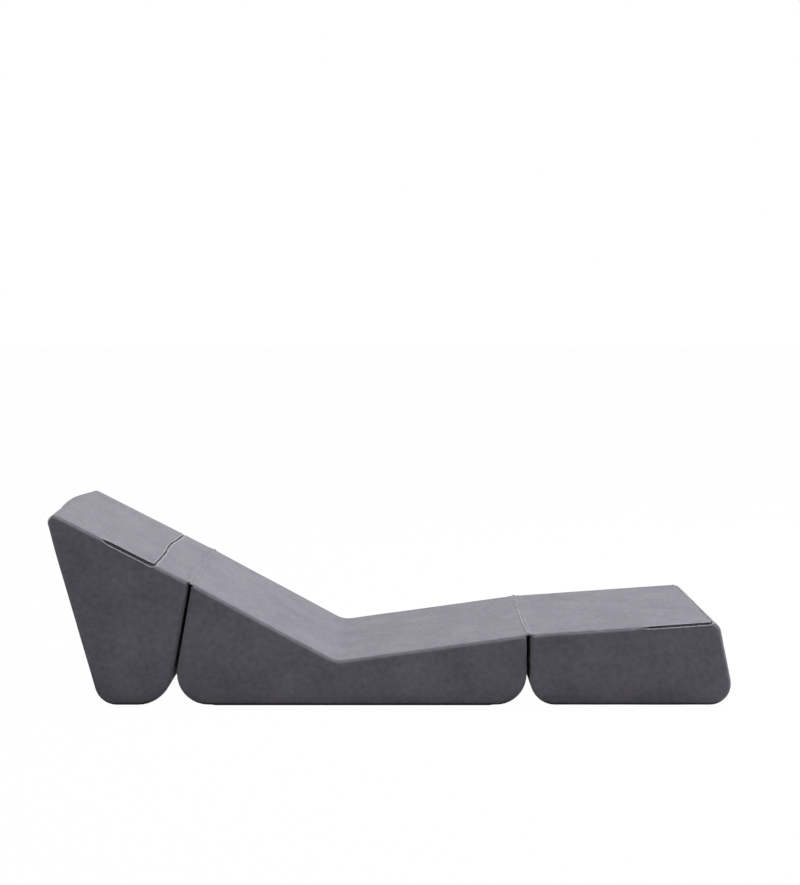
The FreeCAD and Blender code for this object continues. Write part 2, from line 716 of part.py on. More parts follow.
# The two hinges, which stay with the seat block
parts.append(hinge_strip("head_hinge_strip", head_hinge, -(back_angle + head_angle) / 2,
                         (back_angle + head_angle) / 2 - rear_lean))
parts.append(hinge_strip("foot_hinge_strip", foot_hinge, (seat_angle + foot_angle) / 2,
                         -(seat_angle + foot_angle) / 2))

doc.recompute()

# Nothing is written unless every object is sound.
for item in doc.Objects:
    if "Invalid" in item.State or "Error" in item.State:
        raise RuntimeError("%s is not built: %s" % (item.Label, item.State))
for item in parts:
    if item.Shape.isNull() or not item.Shape.isValid() or not item.Shape.Solids:
        raise RuntimeError("%s has no sound shape" % item.Label)

os.makedirs("parts", exist_ok=True)
for item in parts:
    item.Shape.exportStep("parts/%s.step" % item.Label)
print("bend of the seat at X %.2f, head hinge at X %.2f Z %.2f, foot hinge at X %.2f Z %.2f" % (
    (vee + to_frame).x, (head_hinge + to_frame).x, (head_hinge + to_frame).z,
    (foot_hinge + to_frame).x, (foot_hinge + to_frame).z))
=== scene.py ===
import bmesh
import bpy
import json
from math import cos, exp, pi, radians, sin, sqrt, tan
from mathutils import Matrix, Vector


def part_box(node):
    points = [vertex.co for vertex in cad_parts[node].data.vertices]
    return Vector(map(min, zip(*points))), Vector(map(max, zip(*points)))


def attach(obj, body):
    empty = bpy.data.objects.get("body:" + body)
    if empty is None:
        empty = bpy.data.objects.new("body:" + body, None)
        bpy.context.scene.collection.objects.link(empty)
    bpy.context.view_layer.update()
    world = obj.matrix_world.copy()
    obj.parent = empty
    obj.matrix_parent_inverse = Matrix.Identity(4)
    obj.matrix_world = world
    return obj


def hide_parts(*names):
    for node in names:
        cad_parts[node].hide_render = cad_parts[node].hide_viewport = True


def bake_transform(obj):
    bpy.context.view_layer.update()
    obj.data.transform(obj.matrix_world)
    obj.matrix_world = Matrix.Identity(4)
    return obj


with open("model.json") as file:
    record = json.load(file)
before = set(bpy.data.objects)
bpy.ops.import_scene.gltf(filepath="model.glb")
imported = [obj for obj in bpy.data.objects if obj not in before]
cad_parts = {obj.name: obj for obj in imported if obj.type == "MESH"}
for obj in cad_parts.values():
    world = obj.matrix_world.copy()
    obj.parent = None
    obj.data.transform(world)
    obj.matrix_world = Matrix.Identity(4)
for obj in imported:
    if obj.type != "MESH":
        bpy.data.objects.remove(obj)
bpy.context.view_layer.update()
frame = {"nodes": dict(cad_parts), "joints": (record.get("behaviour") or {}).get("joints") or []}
print("frame loaded:", len(frame["nodes"]), "nodes")

# Metres and degrees. X runs towards the foot end, Y away from the camera, Z up.
bed = {
    "width": 0.700,
    "floorLift": 0.0015,  # the covers stay this far above the floor, the base panels touch it
    "hingeRise": 0.0026,
    "hingeGap": 0.010,
    "edgeRound": 0.014,
    "backSlope": 28.4,
    "backLength": 0.484,
    "seatSlope": 7.9,
    "innerLean": 10.3,
    "headSlope": 27.2,
    "headLength": 0.483,
    "headLean": 15.4,
    "footSlope": 4.0,
    "footLength": 0.558,
    "footLean": 11.8,
}
halfWidth = bed["width"] / 2
flatHalf = halfWidth - bed["edgeRound"]
rimLength = bed["edgeRound"] * pi / 2


def sinD(angle):
    return sin(radians(angle))


def cosD(angle):
    return cos(radians(angle))


def upSlope(angle):  # unit step towards +X that climbs by an angle
    return Vector((cosD(angle), 0, sinD(angle)))


def offSlope(angle):  # unit step out of a surface with that slope
    return Vector((-sinD(angle), 0, cosD(angle)))


# The fold lines come from the frame, and every corner is measured from them.
joints = {joint["name"]: joint for joint in frame["joints"]}
headFoldSlope = -(bed["backSlope"] + bed["headSlope"]) / 2
footFoldSlope = (bed["seatSlope"] + bed["footSlope"]) / 2
headHinge = Vector(joints["head_fold"]["pos_m"]) - offSlope(headFoldSlope) * bed["hingeRise"]
footHinge = Vector(joints["foot_fold"]["pos_m"]) - offSlope(footFoldSlope) * bed["hingeRise"]
bend = headHinge + upSlope(-bed["backSlope"]) * bed["backLength"]


def onFloor(corner, lean):  # where a face that goes down from a corner reaches the cover's underside
    drop = corner.z - bed["floorLift"]
    return Vector((corner.x + drop * tan(radians(lean)), 0, bed["floorLift"]))


def besideGap(slope, lean):
    return bed["hingeGap"] / 2 / cosD(slope - lean)


seatRear = headHinge + upSlope(-bed["backSlope"]) * besideGap(bed["backSlope"], bed["innerLean"])
seatFront = footHinge - upSlope(bed["seatSlope"]) * besideGap(bed["seatSlope"], 0)
headInner = headHinge - upSlope(-bed["headSlope"]) * besideGap(bed["headSlope"], bed["innerLean"])
headNose = headHinge - upSlope(-bed["headSlope"]) * bed["headLength"]
footInner = footHinge + upSlope(bed["footSlope"]) * besideGap(bed["footSlope"], 0)
footEnd = footHinge + upSlope(bed["footSlope"]) * bed["footLength"]


# Modelling helpers

def deselectAll():
    bpy.ops.object.select_all(action="DESELECT")


def workOn(obj):
    deselectAll()
    obj.select_set(True)
    bpy.context.view_layer.objects.active = obj
    return obj


def edit(obj):
    workOn(obj)
    bpy.ops.object.mode_set(mode="EDIT")


def leaveEdit():
    bpy.ops.object.mode_set(mode="OBJECT")


def pick(kind, test):  # selects the verts, edges or faces of the mesh in edit mode that pass a test
    modes = {"verts": "VERT", "edges": "EDGE", "faces": "FACE"}
    bpy.ops.mesh.select_mode(type=modes[kind])
    bpy.ops.mesh.select_all(action="DESELECT")
    data = bpy.context.edit_object.data
    shape = bmesh.from_edit_mesh(data)
    for item in getattr(shape, kind):
        if test(item):
            item.select_set(True)
    shape.select_flush_mode()
    bmesh.update_edit_mesh(data)


def middleOf(item):
    return sum((v.co for v in item.verts), Vector()) / len(item.verts)


def setInPlace(obj, name):  # the object goes to the origin, and its place into its mesh
    workOn(obj)
    bpy.ops.object.transform_apply(location=True, rotation=True, scale=True)
    obj.name = name
    obj.data.name = name
    return obj


def addBox(name, low, high):
    deselectAll()
    middle = (Vector(low) + Vector(high)) / 2
    bpy.ops.mesh.primitive_cube_add(size=1, location=middle, scale=Vector(high) - Vector(low))
    return setInPlace(bpy.context.object, name)


def addModifier(obj, kind, **settings):
    workOn(obj)
    modifier = obj.modifiers.new(kind.title(), kind)
    for key, value in settings.items():
        setattr(modifier, key, value)
    bpy.ops.object.modifier_apply(modifier=modifier.name)


def copyOf(obj, name):
    workOn(obj)
    bpy.ops.object.duplicate()
    made = bpy.context.object
    made.name = name
    made.data.name = name
    return made


def remove(*objs):
    deselectAll()
    for obj in objs:
        obj.select_set(True)
    bpy.ops.object.delete()


def joinUp(objs, name):
    deselectAll()
    for obj in objs:
        obj.select_set(True)
    bpy.context.view_layer.objects.active = objs[0]
    if len(objs) > 1:
        bpy.ops.object.join()
    objs[0].name = name
    objs[0].data.name = name
    return objs[0]


def tidyMesh(obj, merge=0.00002):
    edit(obj)
    bpy.ops.mesh.select_all(action="SELECT")
    bpy.ops.mesh.remove_doubles(threshold=merge)
    bpy.ops.mesh.normals_make_consistent(inside=False)
    leaveEdit()


def smooth(obj, angle=None):
    workOn(obj)
    if angle is None:
        bpy.ops.object.shade_smooth()
    else:
        bpy.ops.object.shade_smooth_by_angle(angle=radians(angle))


def newCurve(name, places, radii=None, closed=False, **settings):
    curve = bpy.data.curves.new(name, "CURVE")
    for key, value in settings.items():
        setattr(curve, key, value)
    line = curve.splines.new("POLY")
    line.points.add(len(places) - 1)
    for point, place, radius in zip(line.points, places, radii or [1] * len(places)):
        point.co = (*place, 1)
        point.radius = radius
    line.use_cyclic_u = closed
    obj = bpy.data.objects.new(name, curve)
    bpy.context.collection.objects.link(obj)
    return obj


def meshOf(curve):
    workOn(curve)
    bpy.ops.object.convert(target="MESH")
    return bpy.context.object


def drawTube(name, places, radii, sides=8):  # a closed tube along a line, each place with its own radius
    obj = meshOf(newCurve(name, places, radii, dimensions="3D", bevel_depth=1.0,
                          bevel_resolution=max(sides // 2 - 2, 0), use_fill_caps=True))
    tidyMesh(obj)
    return obj


def drawRibbon(name, left, right, thickness):  # a strip between two lines
    halves = []
    for places in (left, right):
        data = bpy.data.meshes.new(name)
        edges = [(i, i + 1) for i in range(len(places) - 1)]
        data.from_pydata([tuple(place) for place in places], edges, [])
        half = bpy.data.objects.new(name, data)
        bpy.context.collection.objects.link(half)
        halves.append(half)
    strip = joinUp(halves, name)
    edit(strip)
    bpy.ops.mesh.select_all(action="SELECT")
    bpy.ops.mesh.bridge_edge_loops()
    bpy.ops.mesh.normals_make_consistent(inside=False)
    leaveEdit()
    addModifier(strip, "SOLIDIFY", thickness=thickness, offset=0)
    tidyMesh(strip)
    return strip


# Node materials

def newMaterial(name):
    material = bpy.data.materials.new(name)
    material.use_nodes = True
    return material, material.node_tree, material.node_tree.nodes["Principled BSDF"]


def feed(tree, node, inputs):  # each input takes a value, or a link from another node's output
    for key, value in inputs.items():
        if isinstance(value, bpy.types.NodeSocket):
            tree.links.new(value, node.inputs[key])
        else:
            node.inputs[key].default_value = value


def addNode(tree, kind, inputs=None, **settings):
    node = tree.nodes.new(kind)
    for key, value in settings.items():
        setattr(node, key, value)
    feed(tree, node, inputs or {})
    return node


def addMath(tree, operation, *values, clamp=False):
    inputs = dict(enumerate(values))
    return addNode(tree, "ShaderNodeMath", inputs, operation=operation, use_clamp=clamp).outputs[0]


def mixColours(tree, factor, first, second, way="MIX"):
    inputs = {"Factor": factor, "A": first, "B": second}
    return addNode(tree, "ShaderNodeMix", inputs, data_type="RGBA", blend_type=way).outputs["Result"]


def addBump(tree, height, strength, distance, invert=False):
    inputs = {"Height": height, "Strength": strength, "Distance": distance}
    return addNode(tree, "ShaderNodeBump", inputs, invert=invert).outputs["Normal"]


def objectPlace(tree):
    return addNode(tree, "ShaderNodeTexCoord").outputs["Object"]


def grey(value):
    return (value, value, value, 1)


def makeGroup(name, inputs, outputs):
    group = bpy.data.node_groups.new(name, "ShaderNodeTree")
    for label, kind, value in inputs:
        socket = group.interface.new_socket(name=label, in_out="INPUT", socket_type=kind)
        socket.default_value = value
    for label, kind in outputs:
        group.interface.new_socket(name=label, in_out="OUTPUT", socket_type=kind)
    return group, group.nodes.new("NodeGroupInput"), group.nodes.new("NodeGroupOutput")


napMix = {
    "patch": (3.0, 0.55),  # detail and roughness of each noise
    "mottle": (5.0, 0.62),
    "grain": (2.0, 0.6),
    "patchShare": 0.45,
    "mottleShare": 0.55,
    "grainShare": 0.6,
    "low": 0.33,
    "high": 0.67,
    "darken": 0.3,
}


def makeNapGroup():  # brushed pile: cloudy patches, small mottling and fine grain
    group, start, end = makeGroup(
        "brushedNap",
        [("Patch Scale", "NodeSocketFloat", 9.0), ("Mottle Scale", "NodeSocketFloat", 55.0),
         ("Grain Scale", "NodeSocketFloat", 900.0), ("Dark", "NodeSocketColor", grey(0.1)),
         ("Light", "NodeSocketColor", grey(0.2))],
        [("Colour", "NodeSocketColor"), ("Pile", "NodeSocketFloat")])
    place = objectPlace(group)
    noises = []
    for kind in ("patch", "mottle", "grain"):
        detail, roughness = napMix[kind]
        scale = start.outputs[kind.title() + " Scale"]
        noise = addNode(group, "ShaderNodeTexNoise", {
            "Vector": place, "Scale": scale, "Detail": detail, "Roughness": roughness})
        noises.append(noise.outputs["Fac"])
    patches, mottle, grain = noises
    part = addMath(group, "MULTIPLY", mottle, napMix["mottleShare"])
    blend = addMath(group, "MULTIPLY_ADD", patches, napMix["patchShare"], part)
    spread = addNode(group, "ShaderNodeMapRange", {
        "Value": blend, "From Min": napMix["low"], "From Max": napMix["high"]})
    speckle = addMath(group, "MULTIPLY_ADD", grain, napMix["grainShare"], spread.outputs["Result"])
    centred = addMath(group, "SUBTRACT", speckle, napMix["darken"], clamp=True)
    feed(group, end, {
        "Colour": mixColours(group, centred, start.outputs["Dark"], start.outputs["Light"]),
        "Pile": addMath(group, "MULTIPLY_ADD", grain, napMix["grainShare"], part)})
    return group


napGroup = makeNapGroup()
# Occlusion shares between which the painted gap shade fades out
gapMix = {"shut": 0.14, "open": 0.52, "samples": 8}


def makeGapGroup():  # painted shade: pile in a crease or a narrow gap takes hardly any light, so the colour is darkened there by ambient occlusion
    group, start, end = makeGroup(
        "gapShade",
        [("Colour", "NodeSocketColor", grey(0.1)), ("Reach", "NodeSocketFloat", 0.03),
         ("Floor", "NodeSocketFloat", 0.1)],
        [("Colour", "NodeSocketColor"), ("Open", "NodeSocketFloat")])
    hidden = addNode(group, "ShaderNodeAmbientOcclusion", {"Distance": start.outputs["Reach"]},
                     samples=gapMix["samples"])
    openness = addNode(group, "ShaderNodeMapRange", {
        "Value": hidden.outputs["AO"], "From Min": gapMix["shut"], "From Max": gapMix["open"],
        "To Min": start.outputs["Floor"]}).outputs["Result"]
    feed(group, end, {"Colour": mixColours(group, 1.0, start.outputs["Colour"], openness, "MULTIPLY"),
                      "Open": openness})
    return group


gapGroup = makeGapGroup()
suedeLook = {
    "dark": (0.078, 0.074, 0.092),
    "light": (0.128, 0.122, 0.142),
    "patchScale": 8.0,
    "mottleScale": 60.0,
    "grainScale": 1100.0,
    "pileLow": 0.40,
    "pileHigh": 0.75,
    "sheenLow": 0.62,
    "sheenHigh": 1.0,
    # painted shade in gaps: how far the occlusion reaches, and the darkest share the colour falls to
    "gapReach": 0.03,
    "gapFloor": 0.05,
    "sheenRoughness": 0.32,
    "sheenTint": (0.80, 0.79, 0.84, 1),
    "roughness": 0.92,
    "specular": 0.2,
    "pileHeight": 0.0011,
    "pileStrength": 0.55,
}


# With lift above 1 both colours are brightened, a painted highlight.
def makeSuede(name, look, lift=1.0):
    material, tree, shader = newMaterial(name)
    nap = addNode(tree, "ShaderNodeGroup", node_tree=napGroup, inputs={
        "Patch Scale": look["patchScale"], "Mottle Scale": look["mottleScale"],
        "Grain Scale": look["grainScale"], "Dark": [channel * lift for channel in look["dark"]] + [1],
        "Light": [channel * lift for channel in look["light"]] + [1]})
    gap = addNode(tree, "ShaderNodeGroup", node_tree=gapGroup, inputs={
        "Reach": look["gapReach"], "Floor": look["gapFloor"], "Colour": nap.outputs["Colour"]})
    brushed = addNode(tree, "ShaderNodeMapRange", {
        "Value": nap.outputs["Pile"], "From Min": look["pileLow"], "From Max": look["pileHigh"],
        "To Min": look["sheenLow"], "To Max": look["sheenHigh"]}).outputs["Result"]
    # The base colour carries painted shade from the gap group, and the sheen weight drops by the same share.
    feed(tree, shader, {
        "Base Color": gap.outputs["Colour"],
        "Sheen Weight": addMath(tree, "MULTIPLY", brushed, gap.outputs["Open"], clamp=True),
        "Normal": addBump(tree, nap.outputs["Pile"], look["pileStrength"], look["pileHeight"]),
        "Roughness": look["roughness"], "Specular IOR Level": look["specular"],
        "Sheen Roughness": look["sheenRoughness"], "Sheen Tint": look["sheenTint"]})
    return material


weave = {"waveLength": 0.314, "distortion": 0.8, "detail": 1.0, "strength": 0.6, "height": 0.0005}


def makeWoven(name, dark, light, pitch, roughness=0.85):  # crossed threads, pitch apart
    material, tree, shader = newMaterial(name)
    place = objectPlace(tree)
    waves = [addNode(tree, "ShaderNodeTexWave", {
        "Vector": place, "Scale": weave["waveLength"] / (2 * pitch), "Distortion": weave["distortion"],
        "Detail": weave["detail"]}, wave_type="BANDS", bands_direction=direction).outputs["Fac"]
        for direction in ("X", "Y", "Z")]
    flat = addMath(tree, "MULTIPLY", waves[0], waves[1])
    threads = addMath(tree, "MAXIMUM", flat, waves[2])
    feed(tree, shader, {"Base Color": mixColours(tree, threads, dark, light), "Roughness": roughness,
                        "Normal": addBump(tree, threads, weave["strength"], weave["height"])})
    return material


fineGrain = {"detail": 4.0, "roughness": 0.6, "wear": 0.08, "strength": 0.5}


def makeGrainy(name, dark, light, scale, roughness, metallic=0.0, bumpHeight=0.0003):
    material, tree, shader = newMaterial(name)
    noise = addNode(tree, "ShaderNodeTexNoise", {
        "Vector": objectPlace(tree), "Scale": scale, "Detail": fineGrain["detail"],
        "Roughness": fineGrain["roughness"]}).outputs["Fac"]
    wear = addNode(tree, "ShaderNodeMapRange", {
        "Value": noise, "To Min": roughness - fineGrain["wear"],
        "To Max": roughness + fineGrain["wear"]})
    feed(tree, shader, {
        "Base Color": mixColours(tree, noise, dark, light), "Roughness": wear.outputs["Result"],
        "Normal": addBump(tree, noise, fineGrain["strength"], bumpHeight), "Metallic": metallic})
    return material


def makeFoam(name, dark, light, cell):  # open cells as small pits
    material, tree, shader = newMaterial(name)
    pits = addNode(tree, "ShaderNodeTexVoronoi", {
        "Vector": objectPlace(tree), "Scale": 1 / cell}).outputs["Distance"]
    feed(tree, shader, {"Base Color": mixColours(tree, pits, light, dark), "Roughness": 0.95,
                        "Normal": addBump(tree, pits, 0.7, cell / 3, invert=True)})
    return material


suede = makeSuede("greySuede", suedeLook)
suedeFoldPaintedHighlight = makeSuede("greySuedeFold", {**suedeLook, "gapFloor": 0.85}, lift=2.1)  # painted highlight: colours 2.1 times lighter on the folded lips, with little painted gap shade
# hinge ridges: the painted gap shade goes no darker than a quarter
suedeRidge = makeSuede("greySuedeRidge", {**suedeLook, "gapFloor": 0.25})
zipTape = makeWoven("zipTape", grey(0.012), grey(0.045), 0.0009)
baseCloth = makeWoven("baseCloth", grey(0.006), grey(0.024), 0.0022)
zipNylon = makeGrainy("zipNylon", grey(0.05), grey(0.09), 900, 0.42)
zipMetal = makeGrainy("zipMetal", grey(0.045), grey(0.075), 1400, 0.38, metallic=0.85, bumpHeight=0.0001)
firmFoam = makeFoam("firmFoam", (0.62, 0.57, 0.40, 1), (0.80, 0.75, 0.56, 1), 0.0016)
softFoam = makeFoam("softFoam", (0.72, 0.70, 0.62, 1), (0.88, 0.86, 0.80, 1), 0.0011)
print("materials made")


# The three padded blocks. Each corner has its place and its rounding.

headBlock = {
    "name": "headCover",
    "body": "head_block",
    "corners": [
        (headNose, 0.022), (headInner, 0.007), (onFloor(headInner, -bed["innerLean"]), 0.104),
        (onFloor(headNose, bed["headLean"]), 0.066)],
    "faces": {  # the way each face looks, and how far it may swell
        "top": (offSlope(-bed["headSlope"]), 0.0012), "outer": (-upSlope(bed["headLean"]), 0.0010),
        "inner": (upSlope(bed["innerLean"]), 0.0012)},
}
seatBlock = {
    "name": "seatCover",
    "body": "seat_block",
    "corners": [
        (seatRear, 0.007), (bend, 0.080), (seatFront, 0.007), (onFloor(seatFront, 0), 0.090),
        (onFloor(seatRear, -bed["innerLean"]), 0.092)],
    "faces": {
        "back": (offSlope(-bed["backSlope"]), 0.0004), "seat": (offSlope(bed["seatSlope"]), 0.0004),
        "front": (Vector((1, 0, 0)), 0.0012), "rear": (-upSlope(bed["innerLean"]), 0.0012)},
}
footBlock = {
    "name": "footCover",
    "body": "foot_block",
    "corners": [
        (footInner, 0.007), (footEnd, 0.035), (onFloor(footEnd, bed["footLean"]), 0.062),
        (onFloor(footInner, 0), 0.074)],
    "faces": {
        "top": (offSlope(bed["footSlope"]), 0.0020), "end": (upSlope(-bed["footLean"]), 0.0010),
        "inner": (Vector((-1, 0, 0)), 0.0012)},
}
padding = {
    "grid": 0.012,
    "arcSteps": 10,
    "tightest": 0.0006,
    "merge": 0.00015,
    "rimAngles": (0, 11, 22, 33, 41, 45, 49, 57, 68, 79, 90),
    "seamAngle": 45,
    "seamSink": 0.0008,
    "sideSwell": 0.0045,
    "faceSpread": 0.995,  # how closely a normal follows its face, as a cosine
    "pressure": 4.0,
    "stretch": 40,
    "bending": 2,
    "quality": 4,
    "frames": 10,
    "wave": 0.0005,  # unevenness of the foam under the cover
    "waveLength": 0.12,
}


def roundCorner(corners, index, inset):  # the points of one rounding, moved into the block by an inset
    here, radius = corners[index]
    last, following = corners[index - 1][0], corners[(index + 1) % len(corners)][0]
    toLast, toNext = (last - here).normalized(), (following - here).normalized()
    inLast, inNext = Vector((-toLast.z, 0, toLast.x)), Vector((toNext.z, 0, -toNext.x))
    concave = inLast.dot(toNext) < 0
    here = here + (inLast + inNext) * (inset / (1 + inLast.dot(inNext)))
    radius = radius + inset if concave else max(radius - inset, padding["tightest"])
    half = toLast.angle(toNext) / 2
    centre = here + (toLast + toNext).normalized() * (radius / sin(half))
    begin, end = (here + way * (radius / tan(half)) - centre for way in (toLast, toNext))
    sweep = pi - 2 * half
    steps = padding["arcSteps"]
    return [centre + (begin * sin(sweep * (1 - k / steps)) + end * sin(sweep * k / steps)) / sin(sweep)
            for k in range(steps + 1)]


def blockLoop(block, inset, y):  # one section through a block, at a place across the bed
    corners = block["corners"]
    arcs = [roundCorner(corners, i, inset) for i in range(len(corners))]
    loop = []
    for i, arc in enumerate(arcs):
        following = arcs[(i + 1) % len(arcs)][0]
        straight = (corners[(i + 1) % len(corners)][0] - corners[i][0]).length
        count = max(round(straight / padding["grid"]), 2)
        loop += arc + [arc[-1].lerp(following, k / count) for k in range(1, count)]
    return [Vector((point.x, y, point.z)) for point in loop]


def blockSections():  # how far in and how far across each section is, from the near side to the far one
    rim = []
    for angle in padding["rimAngles"]:
        sink = padding["seamSink"] if angle == padding["seamAngle"] else 0
        radius = bed["edgeRound"] - sink
        rim.append((bed["edgeRound"] - radius * sinD(angle), flatHalf + radius * cosD(angle)))
    count = round(2 * flatHalf / padding["grid"])
    flat = [(0, flatHalf * (2 * i / count - 1)) for i in range(1, count)]
    return [(inset, -y) for inset, y in rim] + flat + [(inset, y) for inset, y in reversed(rim)]


def onSidePanel(face):
    return abs(abs(middleOf(face).y) - halfWidth) < 0.0001 and abs(face.normal.y) > 0.99


def buildBlock(block):
    sections = blockSections()
    inset, y = sections[0]
    shape = blockLoop(block, inset, y)
    deselectAll()
    bpy.ops.mesh.primitive_circle_add(vertices=len(shape), radius=1)
    obj = setInPlace(bpy.context.object, block["name"])
    edit(obj)
    ring = bmesh.from_edit_mesh(obj.data)
    for vert, place in zip(ring.verts, shape):
        vert.co = place
    bpy.ops.mesh.select_all(action="SELECT")
    bpy.ops.mesh.edge_face_add()
    for inset, y in sections[1:]:
        bpy.ops.mesh.select_mode(type="EDGE")
        bpy.ops.mesh.extrude_edges_move()
        following = blockLoop(block, inset, y)
        ring = bmesh.from_edit_mesh(obj.data)
        spots = {(round(place.x, 6), round(place.z, 6)): i for i, place in enumerate(shape)}
        for vert in [v for v in ring.verts if v.select]:
            vert.co = following[spots[round(vert.co.x, 6), round(vert.co.z, 6)]]
        bmesh.update_edit_mesh(obj.data)
        shape = following
    bpy.ops.mesh.edge_face_add()
    corners = [corner[0] for corner in block["corners"]]
    for axis, normal in (("x", (1, 0, 0)), ("z", (0, 0, 1))):
        low, high = min(getattr(c, axis) for c in corners), max(getattr(c, axis) for c in corners)
        count = round((high - low) / padding["grid"])
        for i in range(1, count):
            place = Vector(normal) * (low + (high - low) * i / count)
            pick("faces", onSidePanel)
            bpy.ops.mesh.bisect(plane_co=place, plane_no=normal)
    bpy.ops.mesh.select_all(action="SELECT")
    bpy.ops.mesh.remove_doubles(threshold=padding["merge"])
    bpy.ops.mesh.normals_make_consistent(inside=False)
    leaveEdit()
    return obj


def swellOf(block, normal):  # how far a point with that normal may move out, and 0 round the edges
    faces = list(block["faces"].values())
    faces += [(Vector((0, side, 0)), padding["sideSwell"]) for side in (1, -1)]
    return max((limit for facing, limit in faces if normal.dot(facing) > padding["faceSpread"]), default=0.0)


def swellBlock(obj, block):  # pressure pushes the cover out between its edges, up to each face's limit
    rest = [v.co.copy() for v in obj.data.vertices]
    limits = [swellOf(block, v.normal) for v in obj.data.vertices]
    workOn(obj)
    held = obj.vertex_groups.new(name="held")
    held.add([i for i, limit in enumerate(limits) if limit == 0], 1.0, "REPLACE")
    cloth = obj.modifiers.new("Cloth", "CLOTH")
    settings = cloth.settings
    settings.use_pressure = True
    settings.uniform_pressure_force = padding["pressure"]
    settings.effector_weights.gravity = 0
    settings.vertex_group_mass = held.name
    settings.tension_stiffness = padding["stretch"]
    settings.compression_stiffness = padding["stretch"]
    settings.bending_stiffness = padding["bending"]
    settings.quality = padding["quality"]
    cloth.point_cache.frame_start = 1
    cloth.point_cache.frame_end = padding["frames"]
    for step in range(1, padding["frames"] + 1):
        bpy.context.scene.frame_set(step)
    bpy.ops.object.modifier_apply(modifier=cloth.name)
    bpy.context.scene.frame_set(1)
    moved = [(v.co - old).length for v, old in zip(obj.data.vertices, rest)]
    for limit in sorted(set(limits)):
        group = [i for i, own in enumerate(limits) if own == limit]
        furthest = max(moved[i] for i in group)
        share = min(1.0, limit / furthest) if furthest > 0 else 0
        for i in group:
            obj.data.vertices[i].co = rest[i].lerp(obj.data.vertices[i].co, share)
        print(obj.name, "face limit", limit, "swelled", round(furthest * 1000, 1), "mm")
    obj.vertex_groups.clear()


def pullOut(obj, centre, reach, move):  # draws the cover out or in round a place, fading over a reach
    edit(obj)
    pick("verts", lambda v: (v.co - centre).length < padding["grid"] * 1.2)
    bpy.ops.transform.translate(value=move, use_proportional_edit=True, proportional_size=reach,
                                proportional_edit_falloff="SMOOTH")
    leaveEdit()


def roughenBlock(obj, name):  # the slight unevenness of fabric over foam
    cloud = bpy.data.textures.new(name + "Waves", "CLOUDS")
    cloud.noise_scale = padding["waveLength"]
    cloud.noise_depth = 1
    addModifier(obj, "DISPLACE", texture=cloud, strength=padding["wave"] * 2, mid_level=0.5,
                texture_coords="LOCAL")


def keepAboveFloor(obj):
    edit(obj)
    pick("verts", lambda v: v.co.z < bed["floorLift"])
    bpy.ops.transform.resize(value=(1, 1, 0), center_override=(0, 0, bed["floorLift"]))
    leaveEdit()


# Shaping after the swelling, at listed places: the head end bulges at mid-width and draws in at its corners.
headShaping = [  # place across the bed, reach, and how far along the top towards the hinge
    (0.04, 0.30, -0.014),
    (-halfWidth, 0.10, 0.003),
    (halfWidth, 0.10, 0.003),
]

covers = {}
for block in (headBlock, seatBlock, footBlock):
    cover = buildBlock(block)
    swellBlock(cover, block)
    covers[block["body"]] = cover
for across, reach, move in headShaping:
    found = covers["head_block"].closest_point_on_mesh(headNose + Vector((0, across, 0)))[1]
    pullOut(covers["head_block"], found, reach, upSlope(-bed["headSlope"]) * move)
for body, cover in covers.items():
    roughenBlock(cover, body)
    keepAboveFloor(cover)
    cover.data.materials.append(suede)
    # second slot: the dark zip tape material that the zip grooves' walls take as painted shade
    cover.data.materials.append(zipTape)
    print(cover.name, "has", len(cover.data.polygons), "faces")


# Zips. Their lines are laid out flat: u from the hinge along the top, v across it and down the sides.

headZip = {
    "prefix": "head",
    "hinge": headHinge,
    "along": -upSlope(-bed["headSlope"]),
    "out": offSlope(-bed["headSlope"]),
    "cross": 0.1155,  # cross run, from the hinge
    "legEnd": 0.294,
    "leg": 0.3468,  # side run, across from the middle
    "corner": 0.011,
    "bowHeight": 0.0085,
    "bowPlace": 0.05,
    "bowWidth": 0.14,
    "legHalfGap": 0.0064,
    "crossHalfGap": 0.0040,
    "taper": 0.036,
}
footZip = {
    "prefix": "foot",
    "hinge": footHinge,
    "along": upSlope(bed["footSlope"]),
    "out": offSlope(bed["footSlope"]),
    "cross": 0.537,
    "legEnd": 0.319,
    "leg": 0.3480,
    "corner": 0.009,
    "bowHeight": 0.002,
    "bowPlace": 0.0,
    "bowWidth": 0.2,
    "legHalfGap": 0.0042,
    "crossHalfGap": 0.0034,
    "taper": 0.05,
}
seatZip = {
    "prefix": "seat",
    "halfRun": 0.290,
    "legHalfGap": 0.0047,
    "crossHalfGap": 0.0047,
    "taper": 0.010,
}
zipParts = {
    "step": 0.005,
    "farLeg": 0.3523,  # on the far side every zip is narrow enough for its slider
    "farCorner": 0.004,
    "farTaper": 0.010,
    "farHalfGap": 0.0047,
    "lipRadius": 0.0017,
    "lipLift": 0.0003,
    "grooveSink": 0.0022,  # centre of the round groove below the cover
    "leastGap": 0.0004,
    "tapeDepth": 0.0056,
    "tapeThickness": 0.0008,
    "coilDepth": 0.0027,
    "coilHalf": 0.0019,
    "coilHeight": 0.0010,
    "coilPitch": 0.0026,
    "coilWire": 0.00055,
    "coilSteps": 8,
    "coilStart": 2,  # steps that the coil stays clear of each end
    "cornerSteps": 6,
    "bowFade": 0.08,
    "legFadeIn": 0.02,  # the opening widens from this far inside the rim
    "legFade": 0.03,
    "closing": 0.6,  # how full the opening stays towards its ends
    "lipOut": 0.6,  # lip's centre outside the opening's edge, as a share of its radius
    "lipThinnest": 0.55,
    "tapeClear": 0.0003,
    "tapeReach": 0.94,
    "tapeLeast": 0.0012,
    "stopLift": 0.0004,
}


